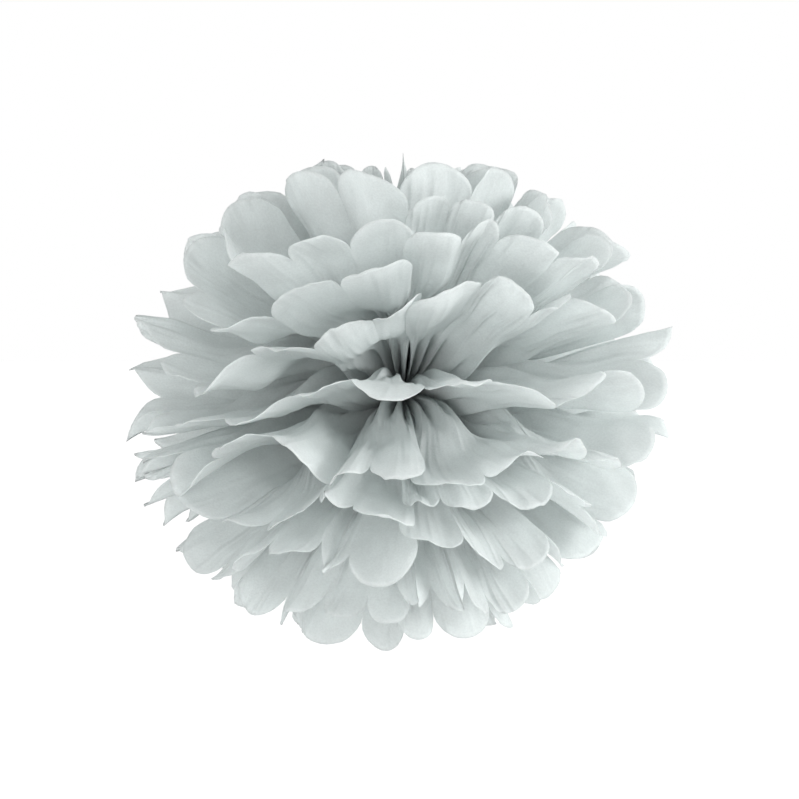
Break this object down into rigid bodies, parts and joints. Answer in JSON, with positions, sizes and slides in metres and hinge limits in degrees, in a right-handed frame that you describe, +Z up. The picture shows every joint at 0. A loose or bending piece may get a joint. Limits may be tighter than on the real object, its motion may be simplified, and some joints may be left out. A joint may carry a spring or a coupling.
{
  "type": "tissue paper pom pom",
  "caption": "Round hanging pom pom of pleated tissue paper sheets, gathered by a wire at the middle and opened into rows of rounded petals.",
  "frame": {"origin": "middle of the wire tie that gathers the sheets, which is the middle of the ball", "axes": "+Z up, across the stack of sheets. The two halves of each sheet open to +X and -X. -Y is the front seam between them, which the picture looks at"},
  "size_m": [0.337, 0.3353, 0.3018],
  "materials": {
    "silver_grey_tissue": "matte",
    "tie_steel": "satin"
  },
  "bodies": {
    "root": {"tissue_sheet_1": "silver_grey_tissue", "tissue_sheet_2": "silver_grey_tissue", "tissue_sheet_3": "silver_grey_tissue", "tissue_sheet_4": "silver_grey_tissue", "tissue_sheet_5": "silver_grey_tissue", "tissue_sheet_6": "silver_grey_tissue", "tissue_sheet_7": "silver_grey_tissue", "tissue_sheet_8": "silver_grey_tissue", "tissue_sheet_9": "silver_grey_tissue", "tissue_sheet_10": "silver_grey_tissue", "tie_wire": "tie_steel"}
  },
  "joints": []
}
